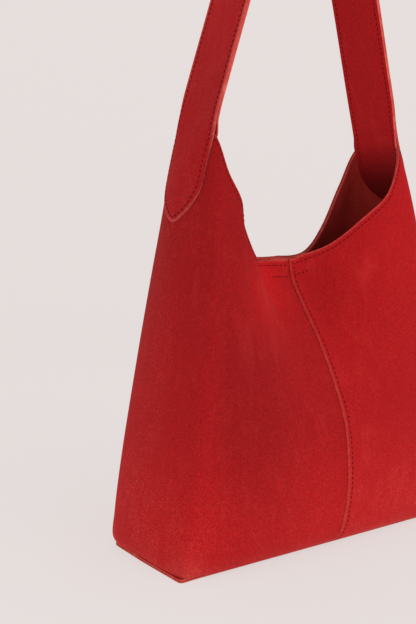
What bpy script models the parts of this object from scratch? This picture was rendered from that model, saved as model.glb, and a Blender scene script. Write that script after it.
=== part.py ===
"""A soft suede shoulder bag: flat base, sides that rise into two horns, a mouth
pinched shut by hidden magnets, and one wide strap sewn to the horns.

Frame: +X to the bag's right seen from the front, +Y to its back, +Z up. The origin
is the middle of the base, on the surface that the bag stands on. Metres.
"""

import math

import bmesh
import bpy
import numpy as np
from mathutils import Vector

MM = 0.001
GAP = 0.3 * MM

# Suede and board thicknesses
SUEDE = 1.6 * MM
FACING = 1.0 * MM
STRAP_LAYER = 1.2 * MM
STRAP_TAPE = 0.6 * MM
BASE_SUEDE = 1.8 * MM
BOARD = 2.0 * MM

# Base
BASE_PANEL_HALF = (138.4 * MM, 48 * MM)
BOARD_HALF = (128 * MM, 40 * MM)

# The front and back walls reach this far from the middle; the rest is the two sides
WALL_HALF_WIDTH = 80 * MM
WALL_EDGE_GAP = 0.6 * MM
SEAM_GAP = 0.4 * MM
SIDE_COLUMNS = 25
MIDDLE_ROWS = 18

# The walls and sides stand on the base panel: they start this far up the rails
FOOT = 3 * MM

# Mouth
FACING_DEPTH = 20 * MM
PATCH_HALF_WIDTH = 20 * MM
PATCH_DEPTH = 17 * MM
MAGNET_RADIUS = 6.5 * MM
MAGNET_THICKNESS = 1.6 * MM
MAGNET_BELOW_RIM = 8.5 * MM

# Horns and strap
HORN_TOP = 312 * MM
STRAP_HALF_WIDTH = 25 * MM
STRAP_LEAN = math.radians(16.9)
STRAP_MIDDLE_AT_HORN = 95.5 * MM
STRAP_TOP_RADIUS = 45 * MM
FLEX_LENGTH = 60 * MM
TONGUE_TIP = 249 * MM
INNER_TONGUE_TIP = 266 * MM
TONGUE_ROUND = 30 * MM

RAIL_STEPS = 80
RING_STEPS = 12

# Each rail runs up the outside of the bag, from the edge of the base to the rim. The
# ring of rails goes round the bag from the left side by the front, so that the
# direction round and the direction up turn the faces outwards.
RAILS = {
    "left": [
        (-139.5, 0, 0), (-143.4, 0, 8), (-145, 0, 25), (-140, 0, 65), (-133, 0, 115),
        (-126, 0, 165), (-119, 0, 215), (-113.5, 0, 252), (-107.3, 0, 285), (-96.3, 0, 312),
    ],
    "front_left_corner": [
        (-137.5, -47.5, 0), (-139.6, -50.4, 7), (-138, -51, 26), (-131, -51, 70), (-123, -48, 120),
        (-115, -45, 170), (-108, -40, 215), (-103, -34, 252), (-98, -28, 285), (-94, -24, 312),
    ],
    "front_left_shoulder": [
        (-124, -49.5, 0), (-127, -53.7, 7), (-125, -56, 26), (-118.5, -57, 68),
        (-111.5, -54, 112), (-104.5, -49.5, 160), (-97.5, -43.5, 207), (-91.5, -37, 250),
        (-85, -30.5, 284),
    ],
    "front_left_fold_top": [
        (-112, -51.5, 0), (-113, -55.7, 7), (-110, -59, 26), (-104, -61, 65), (-98, -58, 105),
        (-91, -53, 150), (-84.5, -47, 195), (-78.5, -38.5, 236), (-74.5, -31.5, 265),
    ],
    "front_left_crease": [
        (-99, -52, 0), (-100, -55.7, 7), (-98, -60, 25), (-93, -62.5, 62), (-87, -60, 98),
        (-81, -54, 141), (-76, -46.5, 183), (-73, -38.5, 218), (-72.5, -32, 247),
    ],
    "front_left_fold": [
        (-86, -51.5, 0), (-87, -55.7, 7), (-85, -61, 24), (-81, -64, 58), (-76, -62, 92),
        (-70, -55.5, 132), (-65.5, -47.5, 170), (-62, -38.5, 200), (-60.5, -30.5, 223),
    ],
    "front_left_hollow": [
        (-66, -51, 0), (-66, -55.7, 6), (-65, -61.5, 22), (-62, -65.5, 53), (-57.5, -63.5, 86),
        (-52.5, -57, 119), (-46.5, -45, 152), (-42, -28, 183), (-41.5, -13.5, 204),
        (-43, -5.5, 219.5),
    ],
    "front_left_quarter": [
        (-44, -50.5, 0), (-44, -56.2, 6), (-44, -62, 21), (-42, -66, 48), (-40, -65, 76),
        (-36.5, -58, 107), (-32, -46, 139), (-29, -31, 163), (-28, -14.5, 185), (-28, 0, 204),
        (-28.5, 5.9, 218.5),
    ],
    "front_left_of_seam": [
        (-14, -49.5, 0), (-14, -56.7, 6), (-14, -63, 20), (-14, -67.2, 46), (-14, -67, 71),
        (-14, -62, 100), (-13.5, -48.5, 131), (-13, -33, 157), (-13, -14, 183.5),
        (-13, 0.3, 203.5), (-13, 4.5, 218.5),
    ],
    "front_seam": [
        (0, -49.5, 0), (0, -56.7, 6), (0, -63, 19), (0, -67.6, 45), (0, -67.4, 72),
        (0, -62.5, 100), (0, -48, 131), (0, -32.5, 157), (0, -13, 183), (0, 0, 203),
        (0, 4, 218.5),
    ],
    "front_right_of_seam": [
        (14, -49.5, 0), (14, -56.7, 6), (14, -63, 20), (14, -67.4, 46), (14, -67.2, 71),
        (14, -62.5, 100), (14, -49, 131), (14, -34.5, 156), (14, -15.5, 183),
        (13.5, -3.5, 203), (13, 1.5, 222),
    ],
    "front_right_quarter": [
        (44, -48.5, 0), (44, -56.2, 6), (44, -62.5, 22), (43, -67, 52), (42, -66, 82),
        (40, -59.5, 115), (38, -48, 150), (36, -33, 186), (34, -19, 214), (33, -11, 232),
    ],
    "front_right_fold": [
        (84, -48.5, 0), (84, -55.7, 7), (82, -62, 25), (78, -65.5, 60), (74, -63.5, 100),
        (70, -57, 140), (65, -47, 182), (60, -34, 225), (57, -22, 252),
    ],
    "front_right_fold_top": [
        (110, -48.5, 0), (111, -55.7, 7), (109, -60, 26), (104, -62.5, 66), (99, -60, 112),
        (94, -54, 160), (89, -46, 208), (84, -36, 250), (80, -28.5, 274),
    ],
    "front_right_corner": [
        (137, -46.5, 0), (139.4, -50.2, 7), (138, -51, 26), (132, -51, 70), (125, -49, 120),
        (118, -46, 170), (112, -41, 215), (107, -34, 255), (101, -28, 287), (94, -24, 312),
    ],
    "right": [
        (139.5, 0, 0), (143.4, 0, 8), (145, 0, 25), (141, 0, 65), (135, 0, 115),
        (129, 0, 165), (122, 0, 215), (116, 0, 252), (107, 0, 286), (96.3, 0, 312),
    ],
    "back_right_corner": [
        (136.5, 46, 0), (139.2, 50, 7), (138, 51, 26), (132, 51, 70), (124, 48, 120),
        (116, 44, 170), (109, 39, 215), (104, 33, 252), (99, 28, 285), (94, 24, 312),
    ],
    "back_right_fold_top": [
        (110, 47, 0), (111, 55, 8), (109, 59, 26), (103, 60, 66), (97, 56, 112),
        (90, 49, 160), (84, 41, 208), (79, 33, 250), (76, 27, 280),
    ],
    "back_right_fold": [
        (84, 47, 0), (84, 55, 8), (82, 60, 25), (77, 62, 60), (72, 59, 97),
        (66, 52, 135), (61, 44, 175), (57, 35, 215), (54, 26, 243),
    ],
    "back_right_quarter": [
        (44, 47, 0), (44, 55.5, 7), (44, 62, 22), (42, 66, 52), (40, 64, 82),
        (37, 56.5, 115), (34, 44, 150), (31, 32, 190), (30, 21, 224),
    ],
    "back_seam": [
        (0, 47, 0), (0, 56, 7), (0, 63, 19), (0, 67.6, 45), (0, 66.5, 72),
        (0, 60, 102), (0, 46, 136), (0, 31.5, 172), (0, 21.5, 204), (0, 19, 221),
    ],
    "back_left_quarter": [
        (-44, 47, 0), (-44, 55.5, 7), (-44, 62, 22), (-42, 66, 52), (-40, 64, 82),
        (-37, 56.5, 115), (-34, 44, 150), (-31, 32.5, 190), (-30, 22.5, 223),
    ],
    "back_left_fold": [
        (-84, 47, 0), (-84, 55, 8), (-82, 60, 25), (-77, 62, 60), (-72, 59, 97),
        (-66, 52, 135), (-61, 44, 175), (-57, 35, 215), (-54, 26, 243),
    ],
    "back_left_fold_top": [
        (-110, 47, 0), (-111, 55, 8), (-109, 59, 26), (-103, 60, 66), (-97, 56, 112),
        (-90, 49, 160), (-84, 41, 208), (-79, 33, 250), (-76, 27, 280),
    ],
    "back_left_corner": [
        (-136.5, 46, 0), (-139.2, 50, 7), (-138, 51, 26), (-131, 51, 70), (-123, 48, 120),
        (-115, 44, 170), (-108, 39, 215), (-103, 33, 252), (-98, 28, 285), (-94, 24, 312),
    ],
}


def smooth_through(points, steps, closed=False):
    """Points on a smooth curve through the given ones, `steps` to each stretch."""
    points = np.asarray(points, float)
    if closed:
        points = np.concatenate([points[-1:], points, points[:2]])
    else:
        first, last = 2 * points[:1] - points[1:2], 2 * points[-1:] - points[-2:-1]
        points = np.concatenate([first, points, last])
    lengths = np.maximum(np.linalg.norm(np.diff(points, axis=0), axis=-1), 1e-9)
    at = np.concatenate([np.zeros_like(lengths[:1]), np.cumsum(lengths, axis=0)])
    found = []
    for i in range(1, len(points) - 2):
        span = (at[i + 1] - at[i])[..., None]
        before = (points[i + 1] - points[i - 1]) / (at[i + 1] - at[i - 1])[..., None] * span
        after = (points[i + 2] - points[i]) / (at[i + 2] - at[i])[..., None] * span
        for f in np.arange(steps) / steps:
            found.append(
                (2 * f**3 - 3 * f**2 + 1) * points[i]
                + (f**3 - 2 * f**2 + f) * before
                + (3 * f**2 - 2 * f**3) * points[i + 1]
                + (f**3 - f**2) * after
            )
    if not closed:
        found.append(points[-2])
    return np.array(found)


def at_lengths(line, lengths):
    """Points on a polyline at these lengths from its start."""
    along = np.concatenate([[0], np.cumsum(np.linalg.norm(np.diff(line, axis=0), axis=1))])
    return np.stack([np.interp(lengths, along, line[:, k]) for k in range(3)], axis=1)


def length_of(line):
    return np.linalg.norm(np.diff(line, axis=0), axis=1).sum()


def bag_surface():
    """The outside of the bag as an array [up the bag][round the bag]."""
    rails = []
    for points in RAILS.values():
        line = smooth_through(np.array(points) * MM, 12)
        rails.append(at_lengths(line, np.linspace(0, length_of(line), RAIL_STEPS)))
    surface = smooth_through(np.array(rails), RING_STEPS, closed=True).transpose(1, 0, 2)
    surface[:, :, 2] = np.minimum(surface[:, :, 2], HORN_TOP)
    return surface


SURFACE = bag_surface()
RAIL_COLUMN = {name: i * RING_STEPS for i, name in enumerate(RAILS)}
FRONT_SEAM, BACK_SEAM = RAIL_COLUMN["front_seam"], RAIL_COLUMN["back_seam"]
RIGHT_SIDE = RAIL_COLUMN["right"]
HALF = {
    "left": np.concatenate([SURFACE[:, BACK_SEAM:], SURFACE[:, : FRONT_SEAM + 1]], axis=1),
    "right": SURFACE[:, FRONT_SEAM : BACK_SEAM + 1],
    "front": SURFACE[:, : RIGHT_SIDE + 1],
    "back": np.concatenate([SURFACE[:, RIGHT_SIDE:], SURFACE[:, :1]], axis=1)[:, ::-1],
}


def wall_column(x, side):
    """The line up the front or the back wall at this x."""
    line = []
    for row in HALF[side]:
        y, z = (np.interp(x, row[:, 0], row[:, k]) for k in (1, 2))
        line.append((x, y, z))
    return np.array(line)


def side_column(y, side):
    """The line up the left or the right side at this y."""
    line = []
    for row in HALF[side]:
        row = beyond_walls(row)
        row = row[np.argsort(row[:, 1])]
        x, z = (np.interp(y, row[:, 1], row[:, k]) for k in (0, 2))
        line.append((x, y, z))
    return np.array(line)


def beyond_walls(row):
    """The stretch of a row round the bag that belongs to a side, evenly spaced."""
    outside = np.flatnonzero(np.abs(row[:, 0]) > WALL_HALF_WIDTH)
    ends = []
    for inner, outer in ((outside[0] - 1, outside[0]), (outside[-1] + 1, outside[-1])):
        a, b = row[inner], row[outer]
        share = (WALL_HALF_WIDTH - abs(a[0])) / (abs(b[0]) - abs(a[0]))
        ends.append(a + (b - a) * share)
    line = np.concatenate([ends[:1], row[outside[0] : outside[-1] + 1], ends[1:]])
    return at_lengths(line, np.linspace(0, length_of(line), SIDE_COLUMNS))


def rows_up(line):
    """Points up one column: close together at the base and at the rim."""
    total = length_of(line)
    foot = np.array([FOOT, 6 * MM, 12 * MM, 22 * MM])
    rim = total - np.array([FACING_DEPTH, PATCH_DEPTH, MAGNET_BELOW_RIM, 0])
    middle = np.linspace(foot[-1], rim[0], MIDDLE_ROWS)[1:-1]
    return at_lengths(line, np.concatenate([foot, middle, rim]))


def outward(points):
    """The unit normal at each point of a grid, [round][up]."""
    round_bag, up = np.gradient(points, axis=0), np.gradient(points, axis=1)
    normal = np.cross(round_bag, up)
    return normal / np.linalg.norm(normal, axis=-1, keepdims=True)


def new_material(name, colour, roughness, metallic=0.0):
    material = bpy.data.materials.new(name)
    material.use_nodes = True
    shader = material.node_tree.nodes["Principled BSDF"]
    shader.inputs["Base Color"].default_value = (*colour, 1)
    shader.inputs["Roughness"].default_value = roughness
    shader.inputs["Metallic"].default_value = metallic
    return material


def add_object(name, mesh, material):
    piece = bpy.data.objects.new(name, mesh)
    piece.data.materials.append(material)
    BAG.objects.link(piece)
    return piece


def sheet(name, points, thickness, material):
    """A skin over a grid of points, [round][up], with its thickness on the inside."""
    across, up = len(points), len(points[0])
    grid = bmesh.new()
    bmesh.ops.create_grid(grid, x_segments=across - 1, y_segments=up - 1, size=1)
    for vertex in grid.verts:
        i = round((vertex.co.x + 1) / 2 * (across - 1))
        j = round((vertex.co.y + 1) / 2 * (up - 1))
        vertex.co = points[i][j]
    mesh = bpy.data.meshes.new(name)
    grid.to_mesh(mesh)
    grid.free()
    mesh.shade_smooth()
    piece = add_object(name, mesh, material)
    solidify = piece.modifiers.new("Thickness", "SOLIDIFY")
    solidify.thickness = thickness
    solidify.offset = -1
    return piece


def slab(name, half, low, high, corner, material):
    """A flat plate with round corners; half is half its length and half its depth."""
    plate = bmesh.new()
    bmesh.ops.create_cube(plate, size=1)
    bmesh.ops.scale(plate, vec=(2 * half[0], 2 * half[1], high - low), verts=plate.verts)
    bmesh.ops.translate(plate, vec=(0, 0, (low + high) / 2), verts=plate.verts)
    upright = [e for e in plate.edges if abs(e.verts[0].co.z - e.verts[1].co.z) > 1e-6]
    bmesh.ops.bevel(plate, geom=upright, offset=corner, segments=5, affect="EDGES", profile=0.5)
    mesh = bpy.data.meshes.new(name)
    plate.to_mesh(mesh)
    plate.free()
    return add_object(name, mesh, material)


def add_magnet(name, centre, axis):
    """A thin disc magnet, its round faces along the axis."""
    disc = bmesh.new()
    bmesh.ops.create_cone(
        disc, cap_ends=True, segments=28, radius1=MAGNET_RADIUS, radius2=MAGNET_RADIUS,
        depth=MAGNET_THICKNESS,
    )
    mesh = bpy.data.meshes.new(name)
    disc.to_mesh(mesh)
    disc.free()
    mesh.shade_smooth()
    mesh.set_sharp_from_angle(angle=math.radians(40))
    magnet = add_object(name, mesh, MATERIALS["steel"])
    magnet.location = centre
    magnet.rotation_mode = "QUATERNION"
    magnet.rotation_quaternion = Vector(axis).to_track_quat("Z", "Y")


def make_wall(side):
    """The front or the back wall: two panels, a facing along the rim, a magnet, a patch."""
    edge = WALL_HALF_WIDTH - WALL_EDGE_GAP
    half = [SEAM_GAP / 2, 6.7 * MM, 13.3 * MM, PATCH_HALF_WIDTH, 35 * MM, 50 * MM, 65 * MM, edge]
    across = np.array([-x for x in reversed(half)] + half)
    first, second = "left", "right"
    if side == "back":
        across = -across
        first, second = second, first
    points = np.array([rows_up(wall_column(x, side)) for x in across])
    normal = outward(points)
    count = len(half)
    suede = MATERIALS["suede"]
    sheet(f"{first}_{side}_panel", points[:count], SUEDE, suede)
    sheet(f"{second}_{side}_panel", points[count:], SUEDE, suede)

    depth = SUEDE + GAP
    sheet(f"{side}_rim_facing", (points - normal * depth)[:, -4:], FACING, MATERIALS["lining"])

    depth += FACING + 2 * GAP
    middle = [count - 1, count]
    centre = points[middle, -2].mean(axis=0)
    axis = normal[middle, -2].mean(axis=0)
    add_magnet(f"{side}_magnet", centre - axis * (depth + MAGNET_THICKNESS / 2), axis)

    depth += MAGNET_THICKNESS + 2 * GAP
    patch = (points - normal * depth)[count - 4 : count + 4, -3:]
    sheet(f"{side}_magnet_patch", patch, FACING, MATERIALS["lining"])


def make_side(side):
    """One side of the bag with its horn, from one wall round to the other."""
    rows = np.array([beyond_walls(row) for row in HALF[side]])
    points = np.array([rows_up(column) for column in rows.transpose(1, 0, 2)])
    sheet(f"{side}_side_panel", points, SUEDE, MATERIALS["suede"])


def make_tongue(name, side, tip, depth):
    """A rounded strap end, sewn to the horn this deep from the horn's outer face."""
    half_width = STRAP_HALF_WIDTH - 2.5 * MM
    around = np.sin(np.linspace(-0.5, 0.5, 9) * math.pi) * half_width
    if side == "left":
        around = -around
    points = []
    for y in around:
        column = side_column(y, side)
        rise = TONGUE_ROUND * (1 - math.sqrt(1 - min(1, abs(y) / half_width) ** (4 / 3)))
        heights = np.linspace(tip + rise, HORN_TOP - GAP, 12)
        points.append([[np.interp(z, column[:, 2], column[:, 0]), y, z] for z in heights])
    points = np.array(points)
    sheet(name, points - outward(points) * depth, STRAP_LAYER, MATERIALS["suede"])


def strap_path():
    """The middle of the strap's thickness, from the left horn over to the right one."""
    turn = STRAP_TOP_RADIUS * math.cos(STRAP_LEAN)
    turn_height = HORN_TOP + (STRAP_MIDDLE_AT_HORN - turn) / math.tan(STRAP_LEAN)
    centre = turn_height - STRAP_TOP_RADIUS * math.sin(STRAP_LEAN)
    angles = np.linspace(math.pi - STRAP_LEAN, STRAP_LEAN, 21)
    arc = [(STRAP_TOP_RADIUS * math.cos(a), centre + STRAP_TOP_RADIUS * math.sin(a)) for a in angles]
    loop_foot = HORN_TOP + FLEX_LENGTH + GAP
    foot = STRAP_MIDDLE_AT_HORN - (loop_foot - HORN_TOP) * math.tan(STRAP_LEAN)
    left = np.linspace((-foot, loop_foot), arc[0], 6)[:-1]
    return np.concatenate([left, arc, left[::-1] * (-1, 1)])


def make_band(name, path, offset, half_width, thickness, material):
    """A flat band that follows a path in the XZ plane, `offset` outside it."""
    along = np.gradient(path, axis=0)
    along /= np.linalg.norm(along, axis=1, keepdims=True)
    path = path + np.stack([-along[:, 1], along[:, 0]], axis=1) * offset
    widths = np.linspace(half_width, -half_width, 4)
    points = [[(x, y, z) for x, z in path] for y in widths]
    sheet(name, np.array(points), thickness, material)


def make_strap():
    loop = strap_path()
    tape_face = STRAP_TAPE / 2
    layer_face = tape_face + GAP
    suede = MATERIALS["suede"]
    make_band("strap_outer_layer", loop, layer_face + STRAP_LAYER, STRAP_HALF_WIDTH, STRAP_LAYER, suede)
    make_band("strap_tape", loop, tape_face, STRAP_HALF_WIDTH - 6 * MM, STRAP_TAPE, MATERIALS["tape"])
    make_band("strap_inner_layer", loop, -layer_face, STRAP_HALF_WIDTH, STRAP_LAYER, suede)
    low, high = HORN_TOP + 2 * GAP, HORN_TOP + FLEX_LENGTH
    for side, sign in (("left", -1), ("right", 1)):
        heights = np.linspace(low, high, 5)
        if sign > 0:
            heights = heights[::-1]
        x = sign * (STRAP_MIDDLE_AT_HORN - (heights - HORN_TOP) * math.tan(STRAP_LEAN))
        leg = np.stack([x, heights], axis=1)
        half_thickness = layer_face + STRAP_LAYER
        make_band(f"{side}_strap_bend", leg, half_thickness, STRAP_HALF_WIDTH, 2 * half_thickness, suede)
        make_tongue(f"{side}_outer_strap_end", side, TONGUE_TIP, -(2 * GAP + STRAP_LAYER))
        make_tongue(f"{side}_inner_strap_end", side, INNER_TONGUE_TIP, SUEDE + 2 * GAP)


def make_base():
    slab("base_panel", BASE_PANEL_HALF, 0, BASE_SUEDE, 9 * MM, MATERIALS["suede"])
    board_low = BASE_SUEDE + GAP
    slab("base_board", BOARD_HALF, board_low, board_low + BOARD, 10 * MM, MATERIALS["board"])


for old in list(bpy.data.objects):
    bpy.data.objects.remove(old)

BAG = bpy.data.collections.new("suede_shoulder_bag")
bpy.context.scene.collection.children.link(BAG)
MATERIALS = {
    "suede": new_material("red_suede", (0.42, 0.010, 0.013), 0.95),
    "lining": new_material("suede_flesh_side", (0.30, 0.008, 0.012), 0.98),
    "tape": new_material("woven_tape", (0.35, 0.20, 0.15), 0.9),
    "board": new_material("grey_board", (0.24, 0.22, 0.20), 0.85),
    "steel": new_material("plated_steel", (0.62, 0.62, 0.60), 0.3, 1.0),
}
make_base()
make_side("left")
make_side("right")
make_wall("front")
make_wall("back")
make_strap()
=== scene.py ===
"""The looks of the suede shoulder bag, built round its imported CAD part.

The outside of the bag is the CAD's own smooth surface, drawn finely: rails run from
the edge of the base to the rim, and a closed curve through them goes round the bag.
Every layer of suede is an offset of it, with its raw edges, stitches and folds.

Metres. +X is the bag's right seen from the front, +Y its back, +Z up.
"""

import math

import bpy
import numpy as np
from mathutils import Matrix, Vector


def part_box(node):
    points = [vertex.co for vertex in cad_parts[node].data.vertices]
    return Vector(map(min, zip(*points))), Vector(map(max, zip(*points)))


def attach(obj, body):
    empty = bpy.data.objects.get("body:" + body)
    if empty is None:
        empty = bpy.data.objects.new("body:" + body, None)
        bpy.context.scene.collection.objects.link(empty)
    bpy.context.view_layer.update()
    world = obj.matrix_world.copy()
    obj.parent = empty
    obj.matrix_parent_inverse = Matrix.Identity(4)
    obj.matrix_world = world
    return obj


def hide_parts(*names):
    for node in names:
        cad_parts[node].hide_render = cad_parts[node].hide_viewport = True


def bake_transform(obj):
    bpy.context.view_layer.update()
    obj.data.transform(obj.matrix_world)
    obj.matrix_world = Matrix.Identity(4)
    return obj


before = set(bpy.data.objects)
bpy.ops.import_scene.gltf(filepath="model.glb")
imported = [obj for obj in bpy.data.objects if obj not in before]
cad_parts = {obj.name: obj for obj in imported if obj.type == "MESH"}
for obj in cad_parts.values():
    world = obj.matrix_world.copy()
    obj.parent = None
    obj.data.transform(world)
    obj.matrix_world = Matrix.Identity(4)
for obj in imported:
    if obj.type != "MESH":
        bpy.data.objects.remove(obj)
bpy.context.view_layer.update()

MM = 0.001

# Sizes shared with the CAD
HORN_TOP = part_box("left_side_panel")[1].z
STRAP_HALF_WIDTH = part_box("strap_outer_layer")[1].y
STRAP_LEAN = math.radians(16.9)
STRAP_MIDDLE_AT_HORN = 95.5 * MM
STRAP_TOP_RADIUS = 45 * MM
SUEDE = 1.5 * MM

RAILS = {
    "left": [
        (-139.5, 0, 0), (-143.4, 0, 8), (-145, 0, 25), (-140, 0, 65), (-133, 0, 115),
        (-126, 0, 165), (-119, 0, 215), (-113.5, 0, 252), (-107.3, 0, 285), (-96.3, 0, 312),
    ],
    "front_left_corner": [
        (-137.5, -47.5, 0), (-139.6, -50.4, 7), (-138, -51, 26), (-131, -51, 70), (-123, -48, 120),
        (-115, -45, 170), (-108, -40, 215), (-103, -34, 252), (-98, -28, 285), (-94, -24, 312),
    ],
    "front_left_shoulder": [
        (-124, -49.5, 0), (-127, -53.7, 7), (-125, -56, 26), (-118.5, -57, 68),
        (-111.5, -54, 112), (-104.5, -49.5, 160), (-97.5, -43.5, 207), (-91.5, -37, 250),
        (-85, -30.5, 284),
    ],
    "front_left_fold_top": [
        (-112, -51.5, 0), (-113, -55.7, 7), (-110, -59, 26), (-104, -61, 65), (-98, -58, 105),
        (-91, -53, 150), (-84.5, -47, 195), (-78.5, -38.5, 236), (-74.5, -31.5, 265),
    ],
    "front_left_crease": [
        (-99, -52, 0), (-100, -55.7, 7), (-98, -60, 25), (-93, -62.5, 62), (-87, -60, 98),
        (-81, -54, 141), (-76, -46.5, 183), (-73, -38.5, 218), (-72.5, -32, 247),
    ],
    "front_left_fold": [
        (-86, -51.5, 0), (-87, -55.7, 7), (-85, -61, 24), (-81, -64, 58), (-76, -62, 92),
        (-70, -55.5, 132), (-65.5, -47.5, 170), (-62, -38.5, 200), (-60.5, -30.5, 223),
    ],
    "front_left_hollow": [
        (-66, -51, 0), (-66, -55.7, 6), (-65, -61.5, 22), (-62, -65.5, 53), (-57.5, -63.5, 86),
        (-52.5, -57, 119), (-46.5, -45, 152), (-42, -28, 183), (-41.5, -13.5, 204),
        (-43, -5.5, 219.5),
    ],
    "front_left_quarter": [
        (-44, -50.5, 0), (-44, -56.2, 6), (-44, -62, 21), (-42, -66, 48), (-40, -65, 76),
        (-36.5, -58, 107), (-32, -46, 139), (-29, -31, 163), (-28, -14.5, 185), (-28, 0, 204),
        (-28.5, 5.9, 218.5),
    ],
    "front_left_of_seam": [
        (-14, -49.5, 0), (-14, -56.7, 6), (-14, -63, 20), (-14, -67.2, 46), (-14, -67, 71),
        (-14, -62, 100), (-13.5, -48.5, 131), (-13, -33, 157), (-13, -14, 183.5),
        (-13, 0.3, 203.5), (-13, 4.5, 218.5),
    ],
    "front_seam": [
        (0, -49.5, 0), (0, -56.7, 6), (0, -63, 19), (0, -67.6, 45), (0, -67.4, 72),
        (0, -62.5, 100), (0, -48, 131), (0, -32.5, 157), (0, -13, 183), (0, 0, 203),
        (0, 4, 218.5),
    ],
    "front_right_of_seam": [
        (14, -49.5, 0), (14, -56.7, 6), (14, -63, 20), (14, -67.4, 46), (14, -67.2, 71),
        (14, -62.5, 100), (14, -49, 131), (14, -34.5, 156), (14, -15.5, 183),
        (13.5, -3.5, 203), (13, 1.5, 222),
    ],
    "front_right_quarter": [
        (44, -48.5, 0), (44, -56.2, 6), (44, -62.5, 22), (43, -67, 52), (42, -66, 82),
        (40, -59.5, 115), (38, -48, 150), (36, -33, 186), (34, -19, 214), (33, -11, 232),
    ],
    "front_right_fold": [
        (84, -48.5, 0), (84, -55.7, 7), (82, -62, 25), (78, -65.5, 60), (74, -63.5, 100),
        (70, -57, 140), (65, -47, 182), (60, -34, 225), (57, -22, 252),
    ],
    "front_right_fold_top": [
        (110, -48.5, 0), (111, -55.7, 7), (109, -60, 26), (104, -62.5, 66), (99, -60, 112),
        (94, -54, 160), (89, -46, 208), (84, -36, 250), (80, -28.5, 274),
    ],
    "front_right_corner": [
        (137, -46.5, 0), (139.4, -50.2, 7), (138, -51, 26), (132, -51, 70), (125, -49, 120),
        (118, -46, 170), (112, -41, 215), (107, -34, 255), (101, -28, 287), (94, -24, 312),
    ],
    "right": [
        (139.5, 0, 0), (143.4, 0, 8), (145, 0, 25), (141, 0, 65), (135, 0, 115),
        (129, 0, 165), (122, 0, 215), (116, 0, 252), (107, 0, 286), (96.3, 0, 312),
    ],
    "back_right_corner": [
        (136.5, 46, 0), (139.2, 50, 7), (138, 51, 26), (132, 51, 70), (124, 48, 120),
        (116, 44, 170), (109, 39, 215), (104, 33, 252), (99, 28, 285), (94, 24, 312),
    ],
    "back_right_fold_top": [
        (110, 47, 0), (111, 55, 8), (109, 59, 26), (103, 60, 66), (97, 56, 112),
        (90, 49, 160), (84, 41, 208), (79, 33, 250), (76, 27, 280),
    ],
    "back_right_fold": [
        (84, 47, 0), (84, 55, 8), (82, 60, 25), (77, 62, 60), (72, 59, 97),
        (66, 52, 135), (61, 44, 175), (57, 35, 215), (54, 26, 243),
    ],
    "back_right_quarter": [
        (44, 47, 0), (44, 55.5, 7), (44, 62, 22), (42, 66, 52), (40, 64, 82),
        (37, 56.5, 115), (34, 44, 150), (31, 32, 190), (30, 21, 224),
    ],
    "back_seam": [
        (0, 47, 0), (0, 56, 7), (0, 63, 19), (0, 67.6, 45), (0, 66.5, 72),
        (0, 60, 102), (0, 46, 136), (0, 31.5, 172), (0, 21.5, 204), (0, 19, 221),
    ],
    "back_left_quarter": [
        (-44, 47, 0), (-44, 55.5, 7), (-44, 62, 22), (-42, 66, 52), (-40, 64, 82),
        (-37, 56.5, 115), (-34, 44, 150), (-31, 32.5, 190), (-30, 22.5, 223),
    ],
    "back_left_fold": [
        (-84, 47, 0), (-84, 55, 8), (-82, 60, 25), (-77, 62, 60), (-72, 59, 97),
        (-66, 52, 135), (-61, 44, 175), (-57, 35, 215), (-54, 26, 243),
    ],
    "back_left_fold_top": [
        (-110, 47, 0), (-111, 55, 8), (-109, 59, 26), (-103, 60, 66), (-97, 56, 112),
        (-90, 49, 160), (-84, 41, 208), (-79, 33, 250), (-76, 27, 280),
    ],
    "back_left_corner": [
        (-136.5, 46, 0), (-139.2, 50, 7), (-138, 51, 26), (-131, 51, 70), (-123, 48, 120),
        (-115, 44, 170), (-108, 39, 215), (-103, 33, 252), (-98, 28, 285), (-94, 24, 312),
    ],
}


def smooth_through(points, steps, closed=False):
    """Points on a smooth curve through the given ones, `steps` to each stretch."""
    points = np.asarray(points, float)
    if closed:
        points = np.concatenate([points[-1:], points, points[:2]])
    else:
        first, last = 2 * points[:1] - points[1:2], 2 * points[-1:] - points[-2:-1]
        points = np.concatenate([first, points, last])
    lengths = np.maximum(np.linalg.norm(np.diff(points, axis=0), axis=-1), 1e-9)
    at = np.concatenate([np.zeros_like(lengths[:1]), np.cumsum(lengths, axis=0)])
    found = []
    for i in range(1, len(points) - 2):
        span = (at[i + 1] - at[i])[..., None]
        before = (points[i + 1] - points[i - 1]) / (at[i + 1] - at[i - 1])[..., None] * span
        after = (points[i + 2] - points[i]) / (at[i + 2] - at[i])[..., None] * span
        for f in np.arange(steps) / steps:
            found.append(
                (2 * f**3 - 3 * f**2 + 1) * points[i]
                + (f**3 - 2 * f**2 + f) * before
                + (3 * f**2 - 2 * f**3) * points[i + 1]
                + (f**3 - f**2) * after
            )
    if not closed:
        found.append(points[-2])
    return np.array(found)


def at_lengths(line, lengths):
    """Points on a polyline at these lengths from its start."""
    along = np.concatenate([[0], np.cumsum(np.linalg.norm(np.diff(line, axis=0), axis=1))])
    return np.stack([np.interp(lengths, along, line[:, k]) for k in range(3)], axis=1)


def length_of(line):
    """The length of a polyline."""
    return np.linalg.norm(np.diff(line, axis=0), axis=1).sum()


# ---------------------------------------------------------------- the bag's surface

FOOT_ROWS = np.array([2.4, 3.0, 4.2, 6.5, 9, 12, 16, 21]) * MM
RIM_ROWS = np.array(
    [22, 20, 18, 16.5, 15.2, 14.4, 13.5, 12.6, 11.5, 10, 8.5, 7.2, 6.2, 5.5, 4.9, 4.4, 4.0,
     3.6, 3.1, 2.5, 1.8, 1.1, 0.6, 0.2, 0.0]
) * MM
MIDDLE_ROWS = 72
RING_STEPS = 16


def smoothstep(x):
    """Runs smoothly from 0 to 1 while x does."""
    x = np.clip(x, 0, 1)
    return x * x * (3 - 2 * x)


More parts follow.
